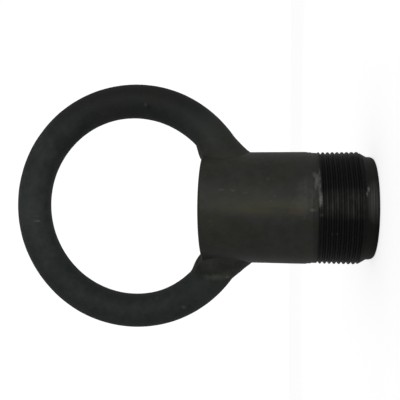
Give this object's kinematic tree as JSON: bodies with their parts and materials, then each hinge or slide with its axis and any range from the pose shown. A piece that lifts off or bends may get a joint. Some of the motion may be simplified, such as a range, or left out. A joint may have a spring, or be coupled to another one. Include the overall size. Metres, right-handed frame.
{
  "type": "eye bolt",
  "caption": "Welded lifting eye: a ring of round bar fillet welded to the sides of a short steel pipe stub, with an outside thread and a plain pilot at the stub's free end.",
  "frame": {"origin": "centre of the stub's lower end face (the pilot's end), on the thread axis", "axes": "+Z along the thread axis from the pilot to the eye; the ring lies in the XZ plane; -Y is the front"},
  "size_m": [0.165, 0.073, 0.24],
  "materials": {
    "ring_steel": "dark mill scale, oiled, satin",
    "stub_steel": "dark olive oiled pipe steel, near-black thread",
    "weld_metal": "dark wire-brushed weld bead"
  },
  "bodies": {
    "root": {"eye_ring": "ring_steel", "threaded_stub": "stub_steel", "weld_right_heel": "weld_metal", "weld_right_back": "weld_metal", "weld_right_throat": "weld_metal", "weld_right_front": "weld_metal", "weld_left_heel": "weld_metal", "weld_left_back": "weld_metal", "weld_left_throat": "weld_metal", "weld_left_front": "weld_metal"}
  },
  "joints": []
}
